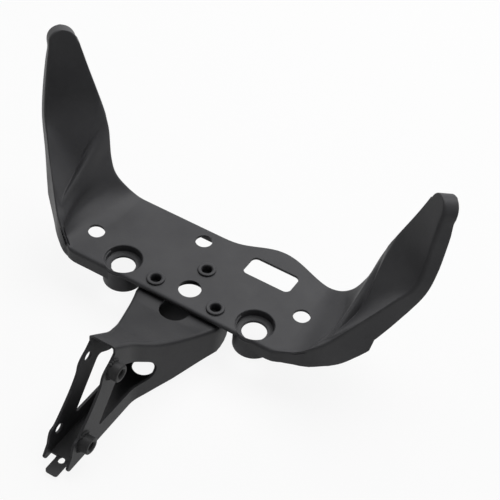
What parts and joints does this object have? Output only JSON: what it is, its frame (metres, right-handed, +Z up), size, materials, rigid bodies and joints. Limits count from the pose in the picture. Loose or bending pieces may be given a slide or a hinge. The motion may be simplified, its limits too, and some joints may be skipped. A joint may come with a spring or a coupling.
{
  "type": "motorcycle fairing stay",
  "caption": "Pressed steel stay with two swept-up arms on a forward stem bracket, carrying a motorcycle's front fairing and instruments.",
  "frame": {"origin": "on the axis of the plate's centre hole, at the plate's top face", "axes": "+X across the motorcycle towards the slotted side, +Y to the rear, away from the stem bracket, +Z up along the centre hole"},
  "size_m": [0.365, 0.2665, 0.1788],
  "materials": {
    "coated_steel": "satin black coating",
    "coated_bracket": "satin black coating",
    "bush_steel": "satin black coating"
  },
  "bodies": {
    "root": {"upper_stay": "coated_steel", "stem_bracket": "coated_bracket", "bush_left": "bush_steel", "bush_right": "bush_steel", "bush_rear": "bush_steel", "spacer_left": "bush_steel", "spacer_right": "bush_steel", "spacer_rear": "bush_steel", "weld_nut_upper": "bush_steel", "weld_nut_lower": "bush_steel"}
  },
  "joints": []
}
